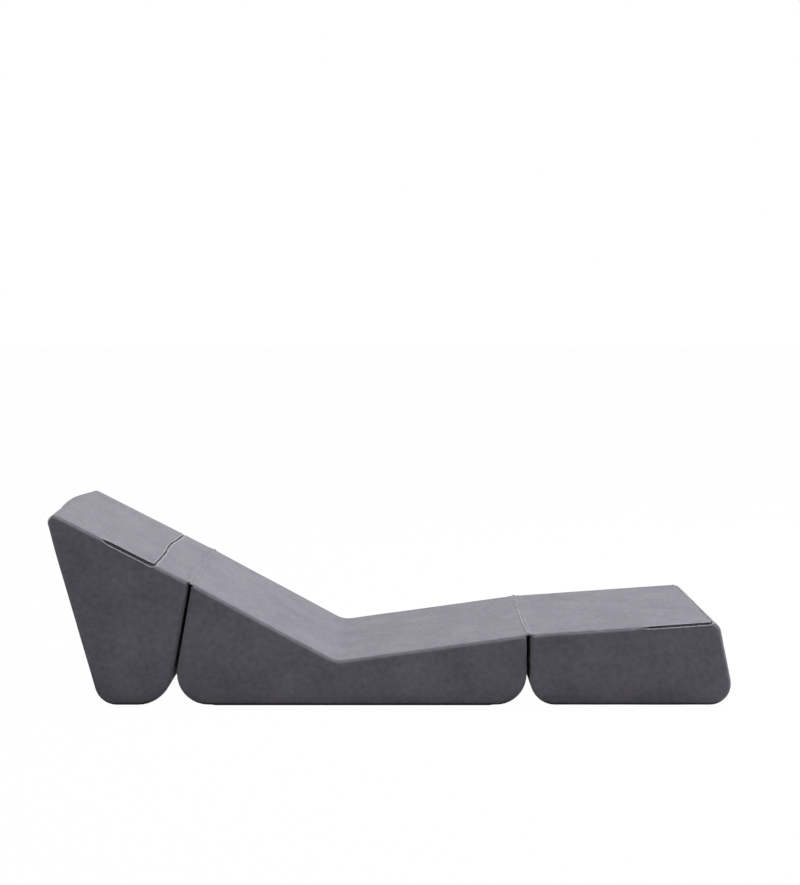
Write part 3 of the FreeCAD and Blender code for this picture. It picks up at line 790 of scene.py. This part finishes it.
def legLine(zipper, leg, corner):  # one leg and its turn into the cross run
    cross = zipper["cross"]
    way = 1 if zipper["legEnd"] > cross else -1
    turnStart = cross + way * corner
    count = round(abs(zipper["legEnd"] - turnStart) / zipParts["step"])
    line = [(zipper["legEnd"] + (turnStart - zipper["legEnd"]) * i / count, leg) for i in range(count)]
    for i in range(zipParts["cornerSteps"]):
        turn = pi / 2 * i / zipParts["cornerSteps"]
        line.append((cross + way * corner * (1 - sin(turn)), leg - corner * (1 - cos(turn))))
    return line


def zipLine(zipper):  # the run laid out flat, from the near leg's end to the far leg's end
    near = legLine(zipper, zipper["leg"], zipper["corner"])
    far = legLine(zipper, zipParts["farLeg"], zipParts["farCorner"])
    begin, end = zipper["corner"] - zipper["leg"], zipParts["farLeg"] - zipParts["farCorner"]
    count = round((end - begin) / zipParts["step"])
    middle = []
    for i in range(count + 1):
        v = begin + (end - begin) * i / count
        bow = zipper["bowHeight"] * exp(-((v - zipper["bowPlace"]) / zipper["bowWidth"]) ** 2)
        middle.append((zipper["cross"] + bow * smoothStep(min(v - begin, end - v) / zipParts["bowFade"]), v))
    return [(u, -v) for u, v in near] + middle + far[::-1]


def smoothStep(value):
    value = min(max(value, 0.0), 1.0)
    return value * value * (3 - 2 * value)


def flatPlace(zipper, u, v):  # a laid-out place on the block's nominal surface
    if zipper["prefix"] == "seat":
        return zipper["middle"] + Vector((0, u, 0)) + zipper["across"] * v
    side = -1 if v < 0 else 1
    past = abs(v) - flatHalf
    turn = min(max(past, 0) / bed["edgeRound"], pi / 2)
    across = min(abs(v), flatHalf) + bed["edgeRound"] * sin(turn)
    drop = bed["edgeRound"] * (1 - cos(turn)) + max(past - rimLength, 0)
    return zipper["hinge"] + zipper["along"] * u - zipper["out"] * drop + Vector((0, side * across, 0))


def onCover(cover, place, lift):  # the nearest place on the real cover, lifted off it
    found, spot, normal, index = cover.closest_point_on_mesh(place)
    return spot + normal * lift


def layOn(cover, zipper, line, lift):
    return [onCover(cover, flatPlace(zipper, u, v), lift) for u, v in line]


def runLengths(line):
    lengths = [0.0]
    for (u0, v0), (u1, v1) in zip(line, line[1:]):
        lengths.append(lengths[-1] + sqrt((u1 - u0) ** 2 + (v1 - v0) ** 2))
    return lengths


def halfGaps(zipper, line):  # the opening is widest along the legs and tapers to their ends
    lengths = runLengths(line)
    gaps = []
    for (u, v), run in zip(line, lengths):
        onLeg = smoothStep((abs(v) - flatHalf + zipParts["legFadeIn"]) / zipParts["legFade"])
        legHalf = zipParts["farHalfGap"] if v > 0 else zipper["legHalfGap"]
        half = zipper["crossHalfGap"] + (legHalf - zipper["crossHalfGap"]) * onLeg
        closing = min(smoothStep(run / zipper["taper"]) ** zipParts["closing"],
                      smoothStep((lengths[-1] - run) / zipParts["farTaper"]) ** zipParts["closing"])
        gaps.append(half * closing)
    return gaps


def sideSteps(line):  # unit step to the left of a laid-out line, at each of its points
    steps = []
    for i in range(len(line)):
        (u0, v0), (u1, v1) = line[max(i - 1, 0)], line[min(i + 1, len(line) - 1)]
        length = sqrt((u1 - u0) ** 2 + (v1 - v0) ** 2)
        steps.append((-(v1 - v0) / length, (u1 - u0) / length))
    return steps


def offsetLine(line, steps, offsets):
    return [(u + s * o, v + t * o) for (u, v), (s, t), o in zip(line, steps, offsets)]


def drawCoil(name, cover, zipper, line, steps):  # one fine wire wound along the zip
    wire = zipParts["coilWire"]
    spacing = zipParts["coilPitch"] / zipParts["coilSteps"]
    places = []
    for (u0, v0), (u1, v1), (s, t) in zip(line, line[1:], steps):
        count = max(round(sqrt((u1 - u0) ** 2 + (v1 - v0) ** 2) / spacing), 1)
        for k in range(count):
            angle = 2 * pi * len(places) / zipParts["coilSteps"]
            off = zipParts["coilHalf"] * cos(angle)
            u, v = u0 + (u1 - u0) * k / count + s * off, v0 + (v1 - v0) * k / count + t * off
            lift = zipParts["coilHeight"] * sin(angle) - zipParts["coilDepth"]
            places.append(onCover(cover, flatPlace(zipper, u, v), lift))
    return drawTube(name, places, [wire] * len(places), sides=4)


def cutGroove(cover, whole, zipper, line, gaps):  # a round groove, as wide as the opening at the cover
    sink = zipParts["grooveSink"]
    radii = [sqrt(gap * gap + sink * sink) if gap > zipParts["leastGap"] else sink for gap in gaps]
    cutter = drawTube("grooveCutter", layOn(whole, zipper, line, -sink), radii, sides=12)
    # the groove's walls take the dark zip tape material: painted shade inside the opening
    cutter.data.materials.append(zipTape)
    addModifier(cover, "BOOLEAN", object=cutter, operation="DIFFERENCE", solver="MANIFOLD",
                material_mode="TRANSFER")
    remove(cutter)


def makeLip(name, whole, zipper, line, steps, gaps, side):  # the folded edge of the cover along the opening
    radius, thinnest = zipParts["lipRadius"], zipParts["lipThinnest"]
    edge = offsetLine(line, steps, [side * (gap + radius * zipParts["lipOut"]) for gap in gaps])
    shares = [thinnest + (1 - thinnest) * smoothStep(gap / zipper["crossHalfGap"]) for gap in gaps]
    places = layOn(whole, zipper, edge, zipParts["lipLift"])
    return drawTube(name, places, [radius * share for share in shares])


def makeTape(name, whole, zipper, line, steps, gaps, side):
    coilEdge = zipParts["coilHalf"] + zipParts["tapeClear"]
    inner = offsetLine(line, steps, [side * min(coilEdge, gap * 0.5) for gap in gaps])
    outer = offsetLine(line, steps, [side * max(gap * zipParts["tapeReach"], zipParts["tapeLeast"])
                                     for gap in gaps])
    inner, outer = (layOn(whole, zipper, edge, -zipParts["tapeDepth"]) for edge in (inner, outer))
    return drawRibbon(name, inner, outer, zipParts["tapeThickness"])


def makeEndStops(name, whole, zipper, line, steps):
    nudge = 0.001
    ends = []
    for (u0, v0), (u1, v1), (s, t) in ((line[0], line[1], steps[0]), (line[-1], line[-2], steps[-1])):
        u, v = u0 + (u1 - u0) * stop["endShare"], v0 + (v1 - v0) * stop["endShare"]
        spot = flatPlace(zipper, u, v)
        place = onCover(whole, spot, zipParts["stopLift"] - zipParts["coilDepth"])
        beside = onCover(whole, flatPlace(zipper, u + s * nudge, v + t * nudge), 0)
        side = (beside - onCover(whole, spot, 0)).normalized()
        out = (place - onCover(whole, spot, -10 * nudge)).normalized()
        end = copyOf(stopForm, name)
        placeBy(end, place, side.cross(out), side, out)
        ends.append(end)
    return joinUp(ends, name)


def openZip(cover, zipper):
    prefix = zipper["prefix"]
    if prefix == "seat":
        count = round(2 * zipper["halfRun"] / zipParts["step"])
        line = [(zipper["halfRun"] * (2 * i / count - 1), 0.0) for i in range(count + 1)]
    else:
        line = zipLine(zipper)
    steps = sideSteps(line)
    gaps = halfGaps(zipper, line)
    whole = copyOf(cover, prefix + "Uncut")
    cutGroove(cover, whole, zipper, line, gaps)
    pieces = {}
    for label, side in (("flap", 1), ("fixed", -1)):
        name = prefix + label.title()
        pieces[label + "_lip"] = makeLip(name + "Lip", whole, zipper, line, steps, gaps, side)
        pieces[label + "_tape"] = makeTape(name + "Tape", whole, zipper, line, steps, gaps, side)
    skip = zipParts["coilStart"]
    pieces["coil"] = drawCoil(prefix + "Coil", whole, zipper, line[skip:-skip], steps[skip:-skip])
    pieces["end_stops"] = makeEndStops(prefix + "EndStops", whole, zipper, line, steps)
    remove(whole)
    print(cover.name, "has", len(cover.data.polygons), "faces with its zip open")
    return pieces


def placeBy(obj, place, along, across, out):  # turns and moves a form made at the origin
    obj.matrix_world = Matrix.Translation(place) @ Matrix((along, across, out)).transposed().to_4x4()
    setInPlace(obj, obj.name)


def roundEdges(width, segments, clamp=False):
    bpy.ops.mesh.bevel(offset=width, offset_type="OFFSET", segments=segments, profile=0.5, affect="EDGES",
                       clamp_overlap=clamp)


def bevelAll(obj, width, segments=2):
    edit(obj)
    bpy.ops.mesh.select_all(action="SELECT")
    roundEdges(width, segments, clamp=True)
    leaveEdit()
    tidyMesh(obj, 0.00001)


def cutHole(obj, place, radius, direction, depth=0.02):
    deselectAll()
    turn = (pi / 2, 0, 0) if direction == "Y" else (0, 0, 0)
    bpy.ops.mesh.primitive_cylinder_add(vertices=24, radius=radius, depth=depth, location=place,
                                        rotation=turn)
    tool = setInPlace(bpy.context.object, obj.name + "Hole")
    addModifier(obj, "BOOLEAN", object=tool, operation="DIFFERENCE", solver="EXACT")
    remove(tool)


# Slider, pull tab and end stop, each made once: X along the zip, Y across it, Z out of the cover
slider = {
    "length": 0.011,
    "width": 0.0066,
    "top": 0.0017,
    "under": -0.0005,
    "cuts": 3,
    "nose": 0.70,  # widths at the nose and the tail, as shares
    "tail": 0.85,
    "rim": 0.0007,
    "padRise": 0.0003,
    "edge": 0.00022,
    "lowerShare": (0.94, 0.9, 0.45),
    "lowerGap": 0.0041,
    "neckPlace": (0.0034, 0.0012),  # back from the nose
    "neckHalf": 0.0007,
    "bridge": (0.0050, 0.0024, 0.0030),
    "bridgeRound": 0.0014,
    "pivot": 0.0032,
    "eye": 0.00095,
    "overlap": 0.0004,
}
pullTab = {
    "length": 0.024,
    "width": 0.0060,
    "thickness": 0.0013,
    "start": 0.0041,
    "corner": 0.0015,
    "rim": 0.0008,
    "waist": 0.72,  # thickness inside the rim, as a share
    "holePlace": 0.0034,  # from the free end
    "hole": 0.0013,
    "armPlace": 0.00215,
    "armInTab": 0.0008,
    "armBack": 0.0001,
    "armTurn": 0.0005,
    "wire": 0.0006,
}
stop = {"length": 0.003, "width": 0.0046, "height": 0.0018, "edge": 0.0004, "endShare": 0.36}


def makeSlider():
    half, wide, under, lap = slider["length"] / 2, slider["width"] / 2, slider["under"], slider["overlap"]
    plate = addBox("sliderForm", (-half, -wide, under), (half, wide, slider["top"]))
    edit(plate)
    bpy.ops.mesh.select_all(action="SELECT")
    bpy.ops.mesh.subdivide(number_cuts=slider["cuts"])
    for end, share in ((half, slider["nose"]), (-half, slider["tail"])):
        pick("verts", lambda v: v.co.x / end > 0.9)
        bpy.ops.transform.resize(value=(1, share, 1), center_override=(end, 0, 0))
    pick("faces", lambda f: f.normal.z > 0.9)
    bpy.ops.mesh.inset(thickness=slider["rim"])
    bpy.ops.transform.translate(value=(0, 0, slider["padRise"]))
    leaveEdit()
    lower = copyOf(plate, "sliderUnder")
    edit(lower)
    bpy.ops.mesh.select_all(action="SELECT")
    bpy.ops.transform.resize(value=slider["lowerShare"], center_override=(0, 0, under))
    bpy.ops.transform.translate(value=(0, 0, -slider["lowerGap"]))
    leaveEdit()
    back, front = (half - place for place in slider["neckPlace"])
    neck = addBox("sliderNeck", (back, -slider["neckHalf"], under - slider["lowerGap"] + lap),
                  (front, slider["neckHalf"], under + lap))
    long, across, tall = slider["bridge"]
    arch = addBox("sliderArch", (-long / 2, -across / 2, slider["top"] - lap / 2),
                  (long / 2, across / 2, slider["top"] + tall))
    edit(arch)
    pick("edges", lambda e: middleOf(e).z > slider["top"] + tall * 0.9 and abs(middleOf(e).x) > long * 0.4)
    roundEdges(slider["bridgeRound"], 5)
    leaveEdit()
    cutHole(arch, (0, 0, slider["pivot"]), slider["eye"], "Y")
    for piece in (plate, lower, neck):
        bevelAll(piece, slider["edge"])
    return joinUp([plate, lower, neck, arch], "sliderForm")


def makePull():
    wide, thick = pullTab["width"] / 2, pullTab["thickness"] / 2
    tab = addBox("pullForm", (pullTab["start"], -wide, -thick), (pullTab["length"], wide, thick))
    edit(tab)
    pick("edges", lambda e: abs(e.verts[0].co.z - e.verts[1].co.z) > thick)
    roundEdges(pullTab["corner"], 5)
    pick("faces", lambda f: abs(f.normal.z) > 0.9)
    bpy.ops.mesh.inset(thickness=pullTab["rim"])
    bpy.ops.transform.resize(value=(1, 1, pullTab["waist"]), center_override=(0, 0, 0))
    leaveEdit()
    cutHole(tab, (pullTab["length"] - pullTab["holePlace"], 0, 0), pullTab["hole"], "Z")
    arm, turn, back = pullTab["armPlace"], pullTab["armTurn"], pullTab["armBack"]
    far = pullTab["start"] + pullTab["armInTab"]
    route = [(far, -arm, 0), (back + turn, -arm, 0), (back, turn - arm, 0),
             (back, arm - turn, 0), (back + turn, arm, 0), (far, arm, 0)]
    loop = drawTube("pullLoop", route, [pullTab["wire"]] * len(route), sides=10)
    return joinUp([tab, loop], "pullForm")


sliderForm = makeSlider()
pullForm = makePull()
stopForm = addBox("stopForm", (-stop["length"] / 2, -stop["width"] / 2, -stop["height"] / 2),
                  (stop["length"] / 2, stop["width"] / 2, stop["height"] / 2))
bevelAll(stopForm, stop["edge"], 3)

for prefix in ("head", "seat", "foot"):
    swing, run = joints[prefix + "_zip_pull_swing"], joints[prefix + "_zip_run"]
    along, across = Vector(run["axis"]).normalized(), -Vector(swing["axis"]).normalized()
    out = along.cross(across)
    pivot = Vector(swing["pos_m"])
    runner = copyOf(sliderForm, prefix + "Slider")
    placeBy(runner, pivot - out * slider["pivot"], along, across, out)
    handle = copyOf(pullForm, prefix + "Pull")
    placeBy(handle, pivot, along, across, out)
    if prefix == "seat":
        seatZip["across"] = across
        seatZip["middle"] = pivot - out * slider["pivot"]
        seatZip["middle"].y = 0
    for piece, part in ((runner, "_zip_slider"), (handle, "_zip_pull")):
        piece.data.materials.append(zipMetal)
        smooth(piece, 35)
        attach(piece, prefix + part)
        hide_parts(prefix + part)
print("sliders and pull tabs made")

finishes = {
    "lip": ("cover_fabric", suedeFoldPaintedHighlight),
    "tape": ("zip_tape", zipTape),
    "coil": ("zip_coil", zipNylon),
    "stops": ("zip_metal", zipMetal),
}
for zipper in (headZip, seatZip, footZip):
    body = zipper["prefix"] + "_block"
    for label, piece in openZip(covers[body], zipper).items():
        slotName, material = finishes[label.split("_")[-1]]
        piece.data.materials.clear()
        piece.data.materials.append(material)
        smooth(piece, 60)
        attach(piece, body)
        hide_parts(zipper["prefix"] + "_zip_" + label)
        print(piece.name, "has", len(piece.data.polygons), "faces")

remove(sliderForm, pullForm, stopForm)


# Sewn hinges: a soft ridge with a wing on each block

hingeStrip = {
    "ridgeHalf": 0.0058,
    "ridgeRise": 0.0036,
    "crease": 0.0010,
    "creaseWidth": 0.0012,
    "archSteps": 12,
    "wing": 0.0195,
    "wingRise": 0.0004,
    "wingDrop": 0.0004,
    "wingFold": 0.0015,
    "under": 0.0022,
    "underInset": 0.0010,
    "halfRun": 0.3445,  # along the ridge, down onto the rims
    "step": 0.006,
    "blendHalf": 0.0060,
}


def stripProfile():
    wing, ridge, rise = hingeStrip["wing"], hingeStrip["ridgeHalf"], hingeStrip["wingRise"]
    right = [(ridge, -hingeStrip["crease"]), (ridge + hingeStrip["creaseWidth"], rise),
             (wing - hingeStrip["wingFold"], rise), (wing, -hingeStrip["wingDrop"]),
             (ridge + hingeStrip["underInset"], -hingeStrip["under"])]
    count = hingeStrip["archSteps"]
    arch = [(-ridge * cos(pi * i / count), hingeStrip["ridgeRise"] * sin(pi * i / count))
            for i in range(count + 1)]
    return [(-x, z) for x, z in reversed(right)] + arch + right


def makeStrip(name, place, slope, bows):
    count = 2 * round(hingeStrip["halfRun"] / hingeStrip["step"])
    nearBow, middleBow, farBow = bows
    route = []
    for i in range(count + 1):
        t = 2 * i / count - 1
        run = hingeStrip["halfRun"] * t
        turn = max(abs(run) - flatHalf, 0) / bed["edgeRound"]
        y = min(abs(run), flatHalf) + bed["edgeRound"] * sin(turn)
        bow = middleBow * (1 - t * t) + (nearBow if t < 0 else farBow) * t * t
        route.append((-bow, y if t > 0 else -y, bed["edgeRound"] * (cos(turn) - 1)))
    section = newCurve(name + "Profile", [(x, z, 0) for x, z in stripProfile()], closed=True)
    obj = meshOf(newCurve(name, route, dimensions="3D", twist_mode="Z_UP", bevel_mode="OBJECT",
                          bevel_object=section, use_fill_caps=True))
    remove(section)
    obj.location = place
    obj.rotation_euler = (0, radians(-slope), 0)
    setInPlace(obj, name)
    tidyMesh(obj)
    return obj


for name, prefix, hinge, slope, other, bows in (
        ("headStrip", "head", headHinge, headFoldSlope, "head_block", (0.0030, 0.0075, 0.0020)),
        ("footStrip", "foot", footHinge, footFoldSlope, "foot_block", (0.0, 0.0008, 0.0))):
    strip = makeStrip(name, hinge, slope, bows)
    strip.data.materials.append(suedeRidge)
    smooth(strip, 40)
    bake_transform(strip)
    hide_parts(prefix + "_hinge_strip")
    print(strip.name, "has", len(strip.data.polygons), "faces")


# Dark non-slip fabric under each block

basePanel = {"seatHalf": 0.338, "corner": 0.018, "inset": 0.004, "rise": 0.0003}
for prefix in ("head", "seat", "foot"):
    low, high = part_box(prefix + "_base_panel")
    low, high = Vector(low), Vector(high)
    if prefix == "seat":
        low.y, high.y = -basePanel["seatHalf"], basePanel["seatHalf"]
    panel = addBox(prefix + "Base", low, high)
    edit(panel)
    pick("edges", lambda e: abs(e.verts[0].co.z - e.verts[1].co.z) > 0.0005)
    roundEdges(basePanel["corner"], 6)
    pick("faces", lambda f: f.normal.z < -0.9)
    bpy.ops.mesh.inset(thickness=basePanel["inset"])
    bpy.ops.transform.translate(value=(0, 0, basePanel["rise"]))
    leaveEdit()
    panel.data.materials.append(baseCloth)
    smooth(panel, 35)
    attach(panel, prefix + "_block")
    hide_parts(prefix + "_base_panel")
print("hinges and base panels made")

for body, cover in covers.items():
    smooth(cover, 50)
    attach(cover, body)
    prefix = body.split("_")[0]
    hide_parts(prefix + "_cover_band", prefix + "_cover_near_side", prefix + "_cover_far_side",
                prefix + "_fibre_pad")
nodeLooks = (
    ("comfort", softFoam), ("core", firmFoam), ("base", baseCloth), ("tape", zipTape), ("coil", zipNylon),
    ("slider", zipMetal), ("pull", zipMetal), ("stops", zipMetal))
for node in frame["nodes"].values():
    node.data.materials.clear()
    node.data.materials.append(next((look for word, look in nodeLooks if word in node.name), suede))
print("covers dressed")


# Stage, light and camera

stage = {
    "size": 60.0,
    "behind": 20.0,
    "grey": 0.42,
    "whiteShare": 0.985,  # the camera sees the floor this white, with only the contact shade left
}


def makeStage():
    deselectAll()
    bpy.ops.mesh.primitive_plane_add(size=stage["size"], location=(0, stage["behind"], 0))
    floor = bpy.context.object
    floor.name = "studioFloor"
    material, tree, shader = newMaterial("studioFloor")
    feed(tree, shader, {"Base Color": grey(stage["grey"]), "Roughness": 1.0, "Specular IOR Level": 0.0})
    glow = addNode(tree, "ShaderNodeEmission", {"Color": grey(1.0), "Strength": 1.0})
    rays = addNode(tree, "ShaderNodeLightPath")
    share = addMath(tree, "MULTIPLY", rays.outputs["Is Camera Ray"], stage["whiteShare"])
    mix = addNode(tree, "ShaderNodeMixShader", {0: share, 1: shader.outputs["BSDF"],
                                                2: glow.outputs["Emission"]})
    feed(tree, tree.nodes["Material Output"], {"Surface": mix.outputs["Shader"]})
    floor.data.materials.append(material)


light = {
    "highLevel": 0.72,  # the studio is bright overhead and dim low down
    "lowLevel": 0.04,
    "brightFrom": 0.9,  # height of the view upwards at which it is fully bright
    "aim": (0.0, 0.0, 0.2),
    "topPower": 1450.0,
    "topPlace": (3.8, 0.8, 7.2),
    "topSize": 3.0,
    "frontPower": 7.0,
    "frontPlace": (-2.4, -2.0, 1.2),
    "frontSize": 1.2,
}


def makeLight():
    world = bpy.data.worlds.new("studio")
    bpy.context.scene.world = world
    world.use_nodes = True
    tree = world.node_tree
    rays = addNode(tree, "ShaderNodeLightPath")
    place = addNode(tree, "ShaderNodeTexCoord")
    parts = addNode(tree, "ShaderNodeSeparateXYZ", {0: place.outputs["Generated"]})
    height = addNode(tree, "ShaderNodeMapRange", {
        "Value": parts.outputs["Z"], "From Min": 0.0, "From Max": light["brightFrom"],
        "To Min": light["lowLevel"], "To Max": light["highLevel"]}, interpolation_type="SMOOTHSTEP")
    level = addNode(tree, "ShaderNodeMix", {
        "Factor": rays.outputs["Is Camera Ray"], "A": height.outputs["Result"], "B": 1.0}, data_type="FLOAT")
    feed(tree, tree.nodes["Background"], {"Color": grey(1.0), "Strength": level.outputs["Result"]})
    for kind in ("top", "front"):
        place = light[kind + "Place"]
        deselectAll()
        bpy.ops.object.light_add(type="AREA", location=place)
        lamp = bpy.context.object
        lamp.name = kind + "Lamp"
        lamp.data.energy = light[kind + "Power"]
        lamp.data.size = light[kind + "Size"]
        aim = Vector(light["aim"]) - Vector(place)
        lamp.rotation_euler = aim.to_track_quat("-Z", "Y").to_euler()


camera = {
    "place": (0.029, -5.272, 1.148),
    "pitch": 4.34,  # degrees below level
    "focalPixels": 1705.4,  # in the photograph's frame of 800 x 885 pixels
    "frameHeight": 885.0,
    "sensor": 36.0,
}


def makeCamera():
    deselectAll()
    bpy.ops.object.camera_add(location=camera["place"], rotation=(radians(90 - camera["pitch"]), 0, 0))
    shooter = bpy.context.object
    shooter.name = "camera"
    shooter.data.sensor_fit = "AUTO"
    shooter.data.sensor_width = camera["sensor"]
    shooter.data.lens = camera["focalPixels"] * camera["sensor"] / camera["frameHeight"]
    shooter.data.clip_end = 200
    bpy.context.scene.camera = shooter


makeStage()
makeLight()
makeCamera()
bpy.context.scene.view_settings.view_transform = "Standard"
print("stage, light and camera set")
